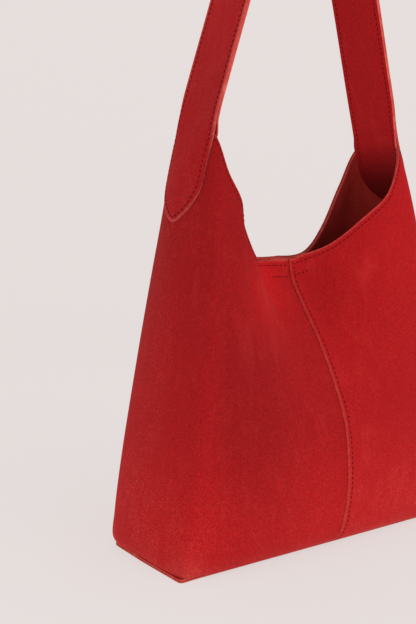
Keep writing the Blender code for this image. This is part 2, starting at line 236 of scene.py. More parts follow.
def bump(x, centre, width):
    """A smooth hump, 1 at the centre."""
    return np.exp(-(((x - centre) / width) ** 2))


def bag_grid():
    """The outside of the bag as [round][up][xyz], and each point's distance to the rim."""
    rails = []
    for points in RAILS.values():
        line = smooth_through(np.array(points) * MM, 16)
        rails.append(at_lengths(line, np.linspace(0, length_of(line), 160)))
    columns = smooth_through(np.array(rails), RING_STEPS, closed=True)
    columns[:, :, 2] = np.minimum(columns[:, :, 2], HORN_TOP)
    grid, to_rim = [], []
    for line in columns:
        total = length_of(line)
        middle = np.linspace(FOOT_ROWS[-1], total - RIM_ROWS[0], MIDDLE_ROWS)[1:-1]
        at = np.concatenate([FOOT_ROWS, middle, total - RIM_ROWS])
        grid.append(at_lengths(line, at))
        to_rim.append(total - at)
    return np.array(grid), np.array(to_rim)


def unit(vectors):
    """The vectors at length 1."""
    return vectors / np.maximum(np.linalg.norm(vectors, axis=-1, keepdims=True), 1e-12)


def ring_normals(grid):
    """Unit normals, outwards, of a grid that closes on itself round the bag."""
    around = np.roll(grid, -1, axis=0) - np.roll(grid, 1, axis=0)
    up = np.gradient(grid, axis=1)
    return unit(np.cross(around, up))


def evened(grid, to_rim, passes=36):
    """Evens out the ripples between rails, less and less towards the rim and the foot."""
    share = 0.5 * smoothstep((to_rim - 6 * MM) / (70 * MM))
    share = (share * (0.1 + 0.9 * smoothstep(grid[..., 2] / (26 * MM))))[..., None]
    for _ in range(passes):
        mean = (np.roll(grid, 1, axis=0) + np.roll(grid, -1, axis=0)) / 2
        grid = grid + (mean - grid) * share
    return grid


GRID, TO_RIM = bag_grid()
GRID = evened(GRID, TO_RIM)
NORMAL = ring_normals(GRID)
COLUMN = {name: i * RING_STEPS for i, name in enumerate(RAILS)}
COLUMNS = len(GRID)

# The fold below the left horn: x of its ridge at these heights on the front wall
FOLD_HEIGHTS = np.array([110, 131, 151, 166, 184, 192, 204, 212, 223]) * MM
FOLD_RIDGE = np.array([-41, -43.5, -47.5, -52.5, -57.5, -59.5, -61.5, -61.5, -61]) * MM
FOLD_RISE = 0.7 * MM

# The rim's stitch row, and how far it pulls the suede in
RIM_STITCH_ROW = 4.2 * MM
RIM_STITCH_PULL = 0.22 * MM


def shaped():
    """Adds what the rails don't hold: the hollow along each stitch row and a fold's ridge."""
    x, y, z = GRID[:, :, 0], GRID[:, :, 1], GRID[:, :, 2]
    off_seam = smoothstep(np.abs(GRID[:, -1:, 0]) / (4 * MM))
    depth = -RIM_STITCH_PULL * bump(TO_RIM, RIM_STITCH_ROW, 0.9 * MM) * (0.4 + 0.6 * off_seam)
    ridge_x = np.interp(z, FOLD_HEIGHTS, FOLD_RIDGE)
    ridge = bump(x, ridge_x, 2.3 * MM) * (y < 0) * bump(z, 195 * MM, 52 * MM)
    return GRID + NORMAL * (depth + FOLD_RISE * ridge)[..., None]


GRID = shaped()
NORMAL = ring_normals(GRID)


# ---------------------------------------------------------------- meshes

def linked(name, data):
    """A new object in the scene that holds this mesh, light or camera."""
    piece = bpy.data.objects.new(name, data)
    bpy.context.scene.collection.objects.link(piece)
    return piece


def make_object(name, points, faces, normals, face_slots, materials):
    """A smooth-shaded mesh object with its own normal at each corner of each face."""
    mesh = bpy.data.meshes.new(name)
    mesh.from_pydata(points.tolist(), [], faces.tolist())
    mesh.polygons.foreach_set("use_smooth", np.ones(len(faces), bool))
    mesh.polygons.foreach_set("material_index", np.asarray(face_slots, np.int32))
    for material in materials:
        mesh.materials.append(material)
    mesh.normals_split_custom_set(normals.reshape(-1, 3).tolist())
    return linked(name, mesh)


def strip_faces(first, second):
    """Quads between two lines of vertex numbers."""
    return np.stack([first[:-1], first[1:], second[1:], second[:-1]], axis=1)


def sheet(name, outer, normal, thickness, materials, painted=None, frayed=0):
    """A closed piece of suede, [round][up]: outer face, inner face and cut edges.

    materials are the outer face's, the inner face's and the cut edge's. painted holds
    values for the materials at each point of the grid, by name. The last `frayed` rows
    of both faces look like the cut edge.
    """
    inner = outer - normal * (thickness if np.isscalar(thickness) else thickness[..., None])
    count, rows = outer.shape[:2]
    number = np.arange(count * rows).reshape(count, rows)
    under = number + count * rows
    corner = [number[:-1, :-1], number[1:, :-1], number[1:, 1:], number[:-1, 1:]]
    outside = np.stack(corner, axis=-1).reshape(-1, 4)
    inside = np.stack([c + count * rows for c in corner], axis=-1).reshape(-1, 4)[:, ::-1]
    edges = [
        strip_faces(number[:, -1], under[:, -1]),
        strip_faces(under[:, 0], number[:, 0]),
        strip_faces(under[-1], number[-1]),
        strip_faces(number[0], under[0]),
    ]
    up = unit(np.gradient(outer, axis=1))
    along = unit(np.gradient(outer, axis=0))
    aims = [up[:, -1], -up[:, 0], along[-1], -along[0]]
    flat_normal = normal.reshape(-1, 3)
    loops = [flat_normal[outside], -flat_normal[inside - count * rows]]
    for faces, aim, lookup in zip(
        edges, aims, (number[:, -1], number[:, 0], number[-1], number[0]), strict=True
    ):
        table = np.zeros((2 * count * rows, 3))
        table[lookup] = aim
        table[lookup + count * rows] = aim
        loops.append(table[faces])
    faces = np.concatenate([outside, inside, *edges])
    face_slots = np.stack([np.zeros((count - 1, rows - 1)), np.ones((count - 1, rows - 1))])
    face_slots[:, :, rows - 1 - frayed :] = 2
    slots = np.concatenate([face_slots.reshape(-1), np.full(sum(map(len, edges)), 2)])
    points = np.concatenate([outer.reshape(-1, 3), inner.reshape(-1, 3)])
    piece = make_object(name, points, faces, np.concatenate(loops), slots, materials)
    for key, values in (painted or {}).items():
        layer = piece.data.attributes.new(key, "FLOAT", "POINT")
        layer.data.foreach_set("value", np.tile(values.reshape(-1), 2).astype(np.float32))
    return piece


STITCH_RINGS = (
    (-1.00, 0.00, -0.75), (-0.86, 0.62, -0.48), (-0.50, 0.95, -0.12), (0.00, 1.00, 0.0),
    (0.50, 0.95, -0.12), (0.86, 0.62, -0.48), (1.00, 0.00, -0.75),
)
STITCH_SIDES = 7
STITCH_PITCH = 3.9 * MM
STITCH_HALF = 1.45 * MM
THREAD_RADIUS = 0.36 * MM


def stitches(name, lines, material):
    """Stitches along lines of (points, normals), each a short rounded length of thread."""
    turns = np.linspace(0, 2 * math.pi, STITCH_SIDES, endpoint=False)
    count = len(STITCH_RINGS) * STITCH_SIDES
    first = np.arange(count).reshape(len(STITCH_RINGS), STITCH_SIDES)
    quads = []
    for a, b in zip(first[:-1], first[1:], strict=True):
        quads.append(np.stack([a, b, np.roll(b, -1), np.roll(a, -1)], axis=1))
    quads = np.concatenate(quads)
    points, faces = [], []
    for line, line_normals in lines:
        at = np.concatenate([[0], np.cumsum(np.linalg.norm(np.diff(line, axis=0), axis=1))])
        spots = np.arange(STITCH_PITCH * 0.6, at[-1] - STITCH_PITCH * 0.4, STITCH_PITCH)
        for spot in spots:
            centre, ahead, behind, up = (
                np.array([np.interp(s, at, values[:, k]) for k in range(3)])
                for s, values in (
                    (spot, line), (spot + STITCH_HALF, line), (spot - STITCH_HALF, line),
                    (spot, line_normals),
                )
            )
            tangent = unit(ahead - behind)
            up = unit(up - tangent * (up @ tangent))
            side = np.cross(tangent, up)
            for place, radius, lift in STITCH_RINGS:
                ring_centre = centre + tangent * place * STITCH_HALF
                ring_centre = ring_centre + up * ((lift + 0.3) * THREAD_RADIUS)
                r = max(radius, 0.05) * THREAD_RADIUS
                ring = np.outer(np.cos(turns), up) + np.outer(np.sin(turns), side)
                points.append(ring_centre + ring * r)
            base = (len(points) - len(STITCH_RINGS)) * STITCH_SIDES
            faces.append(quads + base)
    points = np.concatenate(points)
    faces = np.concatenate(faces)
    mesh = bpy.data.meshes.new(name)
    caps = []
    for start in range(0, len(points), count):
        caps.append(list(range(start, start + STITCH_SIDES)))
        caps.append(list(range(start + count - STITCH_SIDES, start + count))[::-1])
    mesh.from_pydata(points.tolist(), [], faces.tolist() + caps)
    mesh.shade_smooth()
    mesh.materials.append(material)
    return linked(name, mesh)


# ---------------------------------------------------------------- materials

class Nodes:
    """Short names for building one material's node tree."""

    def __init__(self, name):
        self.material = bpy.data.materials.new(name)
        self.material.use_nodes = True
        self.tree = self.material.node_tree
        self.shader = self.tree.nodes["Principled BSDF"]
        self.place = self.add("TexCoord").outputs["Object"]

    def add(self, kind, **values):
        node = self.tree.nodes.new("ShaderNode" + kind)
        for key, value in values.items():
            setattr(node, key, value)
        return node

    def link(self, source, target):
        self.tree.links.new(source, target)

    def scaled(self, scale):
        mapping = self.add("Mapping")
        self.link(self.place, mapping.inputs["Vector"])
        mapping.inputs["Scale"].default_value = scale
        return mapping.outputs["Vector"]

    def noise(self, scale, detail=3.0, roughness=0.55, stretch=None, distortion=0.0):
        node = self.add("TexNoise")
        self.link(self.scaled(stretch) if stretch else self.place, node.inputs["Vector"])
        node.inputs["Scale"].default_value = scale
        node.inputs["Detail"].default_value = detail
        node.inputs["Roughness"].default_value = roughness
        node.inputs["Distortion"].default_value = distortion
        return node.outputs["Fac"]

    def remap(self, value, low, high, to_low=0.0, to_high=1.0):
        node = self.add("MapRange", interpolation_type="SMOOTHSTEP")
        self.link(value, node.inputs["Value"])
        for key, number in zip(
            ("From Min", "From Max", "To Min", "To Max"), (low, high, to_low, to_high),
            strict=True,
        ):
            node.inputs[key].default_value = number
        return node.outputs["Result"]

    def maths(self, operation, first, second):
        node = self.add("Math", operation=operation)
        for socket, value in zip(node.inputs, (first, second), strict=False):
            if isinstance(value, (int, float)):
                socket.default_value = value
            else:
                self.link(value, socket)
        return node.outputs["Value"]

    def mix(self, factor, first, second):
        node = self.add("Mix", data_type="RGBA")
        self.link(factor, node.inputs["Factor"])
        for key, value in (("A", first), ("B", second)):
            socket = [s for s in node.inputs if s.name == key and s.type == "RGBA"][0]
            if isinstance(value, tuple):
                socket.default_value = (*value, 1)
            else:
                self.link(value, socket)
        return [s for s in node.outputs if s.type == "RGBA"][0]

    def brightened(self, colour, factor):
        node = self.add("VectorMath", operation="SCALE")
        self.link(colour, node.inputs["Vector"])
        self.link(factor, node.inputs["Scale"])
        return node.outputs["Vector"]

    def attribute(self, name):
        return self.add("Attribute", attribute_name=name).outputs["Fac"]

    def relief(self, height, distance, strength=1.0):
        node = self.add("Bump")
        node.inputs["Strength"].default_value = strength
        node.inputs["Distance"].default_value = distance
        self.link(height, node.inputs["Height"])
        self.link(node.outputs["Normal"], self.shader.inputs["Normal"])

    def finish(self, colour, **values):
        self.link(colour, self.shader.inputs["Base Color"])
        for key, value in values.items():
            self.shader.inputs[key.replace("_", " ")].default_value = value
        return self.material


def suede(name, dark, middle, light, pale, sheen, relief=0.00016, worn=True):
    """Brushed suede: fine fibres, strokes where a hand has passed, worn paler edges, and a
    lightness from each piece that holds painted light and shade.
    """
    n = Nodes(name)
    grain = n.noise(1300, 2, 0.6)
    fibre = n.noise(640, 4, 0.68, distortion=0.6)
    stroke = n.noise(75, 4, 0.6, stretch=(1, 1, 0.35), distortion=1.2)
    patch = n.noise(17, 3, 0.5, distortion=0.8)
    tone = n.mix(n.remap(fibre, 0.30, 0.72), dark, middle)
    tone = n.mix(n.remap(grain, 0.50, 0.78, 0, 0.45), tone, light)
    brushed = n.maths("MULTIPLY", n.remap(stroke, 0.45, 0.75), n.remap(patch, 0.42, 0.7))
    tone = n.mix(n.maths("MULTIPLY", brushed, 0.30), tone, light)
    shade = n.remap(n.noise(9, 2, 0.5), 0.3, 0.7, 0, 0.30)
    tone = n.mix(shade, tone, dark)
    if worn:
        # scales the colour by the piece's lightness, painted light and shade among it
        tone = n.brightened(tone, n.attribute("nap_and_painted_light"))
        speck = n.remap(n.noise(1150, 2, 0.7), 0.53, 0.66)
        flecks = n.maths("MULTIPLY", n.attribute("rub"), n.remap(stroke, 0.30, 0.70, 0.35, 1.0))
        tone = n.mix(n.maths("MULTIPLY", speck, flecks), tone, pale)
        rough = n.maths("MULTIPLY", n.attribute("wear"), n.remap(fibre, 0.38, 0.62, 0.4, 1.0))
        tone = n.mix(rough, tone, pale)
    height = n.maths("ADD", n.maths("MULTIPLY", fibre, 0.7), n.maths("MULTIPLY", grain, 0.45))
    height = n.maths("ADD", height, n.maths("MULTIPLY", stroke, 0.9))
    n.relief(height, relief, 0.8)
    return n.finish(
        tone, Roughness=0.95, Specular_IOR_Level=0.12, Sheen_Weight=sheen,
        Sheen_Roughness=0.45, Sheen_Tint=(1.0, 0.30, 0.28, 1),
    )


def cut_edge(name, dark, middle, light):
    """The raw edge of cut suede: paler, fibrous and layered along its length."""
    n = Nodes(name)
    fibre = n.noise(900, 4, 0.7, distortion=0.8)
    lump = n.noise(180, 3, 0.6)
    tone = n.mix(n.remap(fibre, 0.32, 0.68), dark, middle)
    tone = n.mix(n.remap(lump, 0.45, 0.72, 0, 0.7), tone, light)
    n.relief(n.maths("ADD", fibre, n.maths("MULTIPLY", lump, 0.8)), 0.0003, 0.9)
    return n.finish(
        tone, Roughness=0.95, Specular_IOR_Level=0.12, Sheen_Weight=0.12,
        Sheen_Roughness=0.5, Sheen_Tint=(1.0, 0.5, 0.42, 1),
    )


def thread(name, dark, light):
    """Twisted sewing thread, darker than the suede."""
    n = Nodes(name)
    twist = n.add("TexWave", wave_type="BANDS", bands_direction="DIAGONAL")
    n.link(n.place, twist.inputs["Vector"])
    twist.inputs["Scale"].default_value = 900
    twist.inputs["Distortion"].default_value = 1.5
    tone = n.mix(n.remap(twist.outputs["Fac"], 0.2, 0.8), dark, light)
    n.relief(twist.outputs["Fac"], 0.00006, 0.7)
    return n.finish(tone, Roughness=0.85, Specular_IOR_Level=0.08)


def woven(name, dark, light):
    """Plain woven tape."""
    n = Nodes(name)
    warp = n.add("TexWave", wave_type="BANDS", bands_direction="Y")
    weft = n.add("TexWave", wave_type="BANDS", bands_direction="Z")
    for wave in (warp, weft):
        n.link(n.place, wave.inputs["Vector"])
        wave.inputs["Scale"].default_value = 450
    both = n.maths("MULTIPLY", warp.outputs["Fac"], weft.outputs["Fac"])
    tone = n.mix(n.remap(both, 0.1, 0.7), dark, light)
    n.relief(both, 0.0002, 0.8)
    return n.finish(tone, Roughness=0.9)


def pressed_board(name, dark, light):
    """Grey fibre board with flecks."""
    n = Nodes(name)
    flecks = n.noise(420, 5, 0.75)
    cloud = n.noise(30, 3, 0.5)
    tone = n.mix(n.remap(flecks, 0.35, 0.7), dark, light)
    tone = n.mix(n.remap(cloud, 0.3, 0.8, 0, 0.35), tone, dark)
    n.relief(flecks, 0.0001, 0.6)
    return n.finish(tone, Roughness=0.88)


def plated(name):
    """Plated steel with fine turning marks and a little tarnish."""
    n = Nodes(name)
    marks = n.noise(700, 3, 0.6, stretch=(1, 6, 1))
    tarnish = n.noise(160, 4, 0.6)
    tone = n.mix(n.remap(tarnish, 0.4, 0.75), (0.62, 0.62, 0.60), (0.42, 0.41, 0.38))
    n.link(n.remap(marks, 0.2, 0.8, 0.22, 0.42), n.shader.inputs["Roughness"])
    n.relief(marks, 0.00004, 0.5)
    return n.finish(tone, Metallic=1.0)


RED = suede(
    "red_suede_nap", (0.300, 0.0048, 0.0068), (0.470, 0.0078, 0.0100), (0.600, 0.033, 0.031),
    (0.620, 0.075, 0.062), 0.06,
)
BASE_RED = suede(
    "base_suede_nap", (0.300, 0.0048, 0.0068), (0.470, 0.0078, 0.0100), (0.600, 0.033, 0.031),
    (0.620, 0.075, 0.062), 0.06, worn=False,
)
STRAP_RED = suede(
    "strap_suede_nap", (0.280, 0.0046, 0.0066), (0.430, 0.0075, 0.0100), (0.570, 0.032, 0.031),
    (0.640, 0.110, 0.088), 0.06,
)
FLESH = suede(
    "suede_flesh_nap", (0.290, 0.0190, 0.0145), (0.430, 0.0290, 0.0210), (0.540, 0.055, 0.040),
    (0.540, 0.055, 0.040), 0.04, relief=0.0003, worn=False,
)
EDGE = cut_edge("suede_cut_edge", (0.540, 0.044, 0.036), (0.720, 0.085, 0.068),
                (0.800, 0.160, 0.122))
EDGE_BROWN = cut_edge("suede_cut_edge_brown", (0.430, 0.044, 0.034), (0.560, 0.082, 0.062),
                      (0.640, 0.135, 0.100))
EDGE_RED = cut_edge("suede_cut_edge_red", (0.330, 0.016, 0.014), (0.470, 0.036, 0.030),
                    (0.560, 0.080, 0.062))
THREAD = thread("dark_red_thread", (0.100, 0.0026, 0.0034), (0.185, 0.0050, 0.0062))
TAPE = woven("woven_tape_weave", (0.22, 0.10, 0.07), (0.42, 0.26, 0.20))
BOARD = pressed_board("pressed_grey_board", (0.12, 0.11, 0.10), (0.28, 0.26, 0.24))
STEEL = plated("plated_magnet_steel")


# ---------------------------------------------------------------- the four quarters

# At the seams the left half runs on under the right one by this many columns
UNDERLAP = 9
LAP_RISE = 1.45 * MM
LAP_RUN = 13 * MM
# The second layer along the rim; in the middle of the front it stands above the first
FACING_THICKNESS = 0.9 * MM
FACING_STANDS = 1.0 * MM
LAYER_GAP = 0.03 * MM
RIM_ROUNDING = 0.2 * MM
# The stitch rows: this far right of the seam, and below the rim where the patch is
SEAM_STITCH_ROW = 3.6 * MM
PATCH_ROW, PATCH_ROW_HALF = 13.6 * MM, 19 * MM
SEAM_REACH = 20


def lap(points, side_sign):
    """How far the right panels ride up over the left ones beside the seams.

    At the foot the two lie level instead, the left one's hidden edge set back.
    """
    x, z = points[..., 0], points[..., 2]
    above_foot = smoothstep((z - 2 * MM) / (16 * MM))
    if side_sign < 0:
        return np.where(x > 0, -0.1 * MM - LAP_RISE * (1 - above_foot), 0.0)
    return LAP_RISE * (1 - smoothstep(x / LAP_RUN)) * above_foot


def quarter_columns(side, face):
    """The columns of one quarter of the bag, in their order round it."""
    seam = COLUMN[face + "_seam"]
    middle = {"left": 0, "right": COLUMN["right"]}[side]
    first, last = {
        ("left", "front"): (middle, seam + UNDERLAP),
        ("right", "front"): (seam, middle),
        ("right", "back"): (middle, seam),
        ("left", "back"): (seam - UNDERLAP, COLUMNS),
    }[side, face]
    return np.arange(first, last + 1) % COLUMNS


def bend_with_wall(piece):
    """Bakes the piece's placing into its mesh."""
    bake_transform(piece)


def edge_wear(points, to_rim, side_sign):
    """How worn and pale each point is: cut edges, the base's corners and its foot."""
    x, y, z = points[..., 0], points[..., 1], points[..., 2]
    rim = (0.75 if side_sign < 0 else 0.85) * np.exp(-((to_rim / (1.2 * MM)) ** 2))
    seam = 0.6 * np.exp(-((x / (0.9 * MM)) ** 2)) if side_sign > 0 else 0
    corner = 0.5 * bump(np.hypot(np.abs(x) - 137 * MM, np.abs(y) - 50 * MM), 0, 13 * MM)
    corner = corner * bump(z, 0, 16 * MM)
    foot = 0.22 * bump(z, 2 * MM, 6 * MM)
    return np.clip(rim + seam + corner + foot, 0, 1)


def nap_with_painted_light(points, side_sign):
    """How light each point is drawn. The right half's brushed suede is paler than the left's, which
    darkens towards its side and high up on it; painted light makes it paler low down, near the top
    of the right half and over the pinch and the fold below the left horn.
    """
    x, y, z = points[..., 0], points[..., 1], points[..., 2]
    # painted light: paler low down, where the floor lights the bag from below
    low = smoothstep((110 * MM - z) / (95 * MM))
    if side_sign > 0:
        # the right half's brushed suede is paler all over; near its top, where the wall tilts back,
        # painted light
        return 1.06 + 0.27 * low + 0.09 * smoothstep((z - 170 * MM) / (60 * MM))
    on_side = smoothstep((-x - 98 * MM) / (34 * MM))
    wall = 0.93 - 0.13 * smoothstep((-x - 25 * MM) / (50 * MM)) + 0.30 * low
    # painted light on the pinch and on the fold below the left horn, which tilt back towards the
    # light above
    wall = wall + 0.30 * bump(x, -20 * MM, 16 * MM) * bump(z, 205 * MM, 26 * MM) * (y < 15 * MM)
    wall = wall + 0.46 * bump(x, -50 * MM, 30 * MM) * bump(z, 200 * MM, 32 * MM) * (y < 15 * MM)
    # the left side: painted light low down, darker high up
    flank = 1.0 + 0.20 * low - 0.13 * smoothstep((z - 150 * MM) / (80 * MM))
    return wall * (1 - on_side) + flank * on_side


def rubbed(points, side_sign):
    """How much pale fibre shows: low on the right half, at the base's ends and corners."""
    x, y, z = points[..., 0], points[..., 1], points[..., 2]
    low = smoothstep((105 * MM - z) / (80 * MM))
    end = smoothstep((np.abs(x) - 112 * MM) / (22 * MM))
    flank = 0.45 * bump(y, 12 * MM, 26 * MM) * smoothstep((np.abs(x) - 100 * MM) / (20 * MM))
    amount = 0.12 + (0.68 if side_sign > 0 else 0.30) * low + 0.30 * low * end + flank
    return np.clip(amount, 0, 0.9)


def make_quarter(side, face):
    """One quarter's suede, the second layer along its rim and the rim's stitches."""
    sign = {"left": -1, "right": 1}[side]
    columns = quarter_columns(side, face)
    points, normal, to_rim = GRID[columns], NORMAL[columns], TO_RIM[columns]
    outer = points + normal * lap(points, sign)[..., None]
    outer[:, -1] -= normal[:, -1] * RIM_ROUNDING
    # the suede's lightness here holds painted light as well as its brushing
    painted = {
        "wear": edge_wear(points, to_rim, sign), "nap_and_painted_light": nap_with_painted_light(points, sign),
        "rub": rubbed(points, sign),
    }
    edge = EDGE if face == "front" else EDGE_RED
    panel = sheet(f"{side}_{face}_suede", outer, normal, SUEDE, [RED, FLESH, edge], painted)
    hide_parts(f"{side}_{face}_panel", f"{side}_side_panel")
    bend_with_wall(panel)

    rows = np.arange(len(FOOT_ROWS) + MIDDLE_ROWS - 2, points.shape[1] - 1)
    inner = (points - normal * (SUEDE + LAYER_GAP))[:, rows]
    stands = 0.0
    if face == "front":
        stands = FACING_STANDS * bump(points[:, -1, 0], 0, 30 * MM)[:, None]
    near_rim = smoothstep((6 * MM - to_rim[:, rows]) / (6 * MM))
    up = unit(points[:, -1] - points[:, -2])
    inner = inner + up[:, None] * (stands * near_rim)[..., None]
    facing = sheet(
        f"{side}_{face}_rim_facing", inner, normal[:, rows], FACING_THICKNESS,
        [FLESH, FLESH, EDGE], frayed=5,
    )
    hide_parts(face + "_rim_facing")
    bend_with_wall(facing)

    row = line_from_rim(columns, RIM_STITCH_ROW, sign)
    line = stitches(f"{side}_{face}_rim_stitches", [row], THREAD)
    bend_with_wall(line)


def line_from_rim(columns, distance, side_sign):
    """(points, normals) along the rim, this far below it on the outside."""
    found, normals = [], []
    for column in columns:
        lengths = TO_RIM[column][::-1]
        points = GRID[column] + NORMAL[column] * lap(GRID[column], side_sign)[:, None]
        found.append([np.interp(distance, lengths, points[::-1, k]) for k in range(3)])
        normals.append([np.interp(distance, lengths, NORMAL[column][::-1, k]) for k in range(3)])
    found, normals = np.array(found), np.array(normals)
    keep = found[:, 0] * side_sign > 1.0 * MM
    return found[keep], normals[keep]


def line_up_wall(x, face, side_sign):
    """(points, normals) up the front or the back wall at this x."""
    seam = COLUMN[face + "_seam"]
    columns = np.arange(seam - SEAM_REACH, seam + SEAM_REACH + 1)
    if face == "back":
        columns = columns[::-1]
    found, normals = [], []
    for row in range(2, GRID.shape[1] - 5):
        across = GRID[columns, row, 0]
        points = GRID[columns, row]
        points = points + NORMAL[columns, row] * lap(points, side_sign)[:, None]
        found.append([np.interp(x, across, points[:, k]) for k in range(3)])
        normals.append([np.interp(x, across, NORMAL[columns, row, k]) for k in range(3)])
    return np.array(found), np.array(normals)


for side in ("left", "right"):
    for face in ("front", "back"):
        make_quarter(side, face)


def make_seam_stitches(face):
    """The row beside the seam, and the row that holds the magnet patch below the rim."""
    x, y = GRID[:, -1, 0], GRID[:, -1, 1]
    near = (np.abs(x) < PATCH_ROW_HALF) & ((y < 10 * MM) == (face == "front"))
    columns = np.arange(COLUMNS)[near]
    rows = [line_up_wall(SEAM_STITCH_ROW, face, 1)]
    rows += [line_from_rim(columns, PATCH_ROW, sign) for sign in (-1, 1)]
    seam_row = stitches(f"{face}_seam_stitches", rows, THREAD)
    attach(seam_row, face + "_wall")


for face in ("front", "back"):
    make_seam_stitches(face)


# ---------------------------------------------------------------- magnet patches

PATCH_HALF = 20.5 * MM
PATCH_ROWS = 21
PATCH_LAYER = 1.0 * MM
# For the two layers: how deep each lies behind the wall's outside, and how far below
# the rim it ends, where less than 0 is above it
PATCH_DEPTHS = (5.1 * MM, 6.15 * MM)
PATCH_DROPS = {"front": (-1.4 * MM, -1.9 * MM), "back": (0.2 * MM, 0.9 * MM)}


def make_patch(face):
    """The two-layer tab inside the middle of the mouth that holds a magnet."""
    seam = COLUMN[face + "_seam"]
    columns = np.arange(seam - 26, seam + 27)
    columns = columns[np.abs(GRID[columns, -1, 0]) <= PATCH_HALF]
    rows = np.arange(GRID.shape[1] - PATCH_ROWS, GRID.shape[1])
    points, normal = GRID[columns][:, rows], NORMAL[columns][:, rows]
    half_width = np.abs(points[:, -1, 0]).max()
    round_end = 1 - np.sqrt(np.clip(1 - (np.abs(points[:, -1, 0]) / half_width) ** 6, 0, 1))
    up = unit(points[:, -1] - points[:, -2])
    for layer, (depth, drop) in enumerate(zip(PATCH_DEPTHS, PATCH_DROPS[face], strict=True)):
        near_top = smoothstep((points[..., 2] - points[:, :1, 2]) / (14 * MM))
        pull = (depth - (2.6 * MM + layer * PATCH_LAYER)) * near_top**3 * 0.8
        outer = points - normal * (depth - pull)[..., None]
        outer -= up[:, None] * (drop + 5 * MM * round_end[:, None, None] * near_top[..., None] ** 2)
        piece = sheet(
            f"{face}_magnet_patch_layer_{layer + 1}", outer, normal, PATCH_LAYER,
            [FLESH, FLESH, EDGE if layer else EDGE_BROWN], frayed=6,
        )
        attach(piece, face + "_wall")
        if layer == 0:
            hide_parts(face + "_magnet_patch")


for face in ("front", "back"):
    make_patch(face)


# ---------------------------------------------------------------- strap

LAYER = 1.2 * MM
INNER_LAYER = 1.5 * MM
TAPE_HALF = 0.3 * MM
TAPE_THICKNESS = 0.54 * MM
TAPE_SHARE = 0.76
STRAP_STITCH_ROW = 3.6 * MM
# The rounded ends sewn to the horns: how low each tip reaches, and its rounding's length
OUTER_TIP, OUTER_ROUND = 249 * MM, 30 * MM
INNER_TIP, INNER_ROUND = 266 * MM, 26 * MM
SEWN_GAP = 0.12 * MM
TONGUE_ROWS = 30
TONGUE_INSET = 1.2 * MM
# Where the horns' shape is sampled for the strap
HORN_REACH = 20
HORN_YS = np.linspace(-26, 26, 27) * MM
HORN_ZS = np.linspace(236, 311.9, 60) * MM


def sway(x, z):
    """The strap leans a little to the bag's right above the horns."""
    rise = smoothstep((z - HORN_TOP) / (150 * MM))
    share = np.clip(0.5 + x / (120 * MM), 0, 1)
    return rise * (3.6 + 2.4 * share) * MM


def loop_path(offset):
    """The strap's line above the horns, this far outside its middle, left to right."""
    turn = STRAP_TOP_RADIUS * math.cos(STRAP_LEAN)
    turn_height = HORN_TOP + (STRAP_MIDDLE_AT_HORN - turn) / math.tan(STRAP_LEAN)
    centre = turn_height - STRAP_TOP_RADIUS * math.sin(STRAP_LEAN)
    angles = np.linspace(math.pi - STRAP_LEAN, STRAP_LEAN, 61)
    radius = STRAP_TOP_RADIUS + offset
    arc = np.stack([radius * np.cos(angles), centre + radius * np.sin(angles)], axis=1)
    heights = np.linspace(HORN_TOP, turn_height, 90)[:-1]
    x = -(STRAP_MIDDLE_AT_HORN - (heights - HORN_TOP) * math.tan(STRAP_LEAN))
    aside = np.array([-math.cos(STRAP_LEAN), math.sin(STRAP_LEAN)]) * offset
    left = np.stack([x, heights], axis=1) + aside
    right = left[::-1] * (-1, 1)
    return np.concatenate([left, arc, right])


def horn_table(side):
    """x of the horn's outside on a grid of y and z."""
    middle = {"left": 0, "right": COLUMN["right"]}[side]
    columns = np.arange(middle - HORN_REACH, middle + HORN_REACH + 1) % COLUMNS
    ys, zs = HORN_YS, HORN_ZS
    at_heights = []
    for column in columns:
        line = GRID[column]
        at_heights.append([[np.interp(z, line[:, 2], line[:, k]) for k in (0, 1)] for z in zs])
    at_heights = np.array(at_heights)
    table = np.zeros((len(ys), len(zs)))
    for j in range(len(zs)):
        order = np.argsort(at_heights[:, j, 1])
        table[:, j] = np.interp(ys, at_heights[order, j, 1], at_heights[order, j, 0])
    return ys, zs, table


def horn_x(tables, side, y, z):
    """x of the horn's outside at these y and z."""
    ys, zs, table = tables[side]
    low = np.minimum(z, zs[-1])
    j = np.interp(low, zs, np.arange(len(zs)))
    j0 = np.minimum(j.astype(int), len(zs) - 2)
    columns = table[:, j0] * (1 - (j - j0)) + table[:, j0 + 1] * (j - j0)
    return np.array([np.interp(yy, ys, columns[:, k]) for k, yy in enumerate(y)])


STRAP_EDGE = STRAP_HALF_WIDTH - 0.2 * MM
SLOPE_RUN = 9 * MM
SIDE_NAME = {-1: "left", 1: "right"}


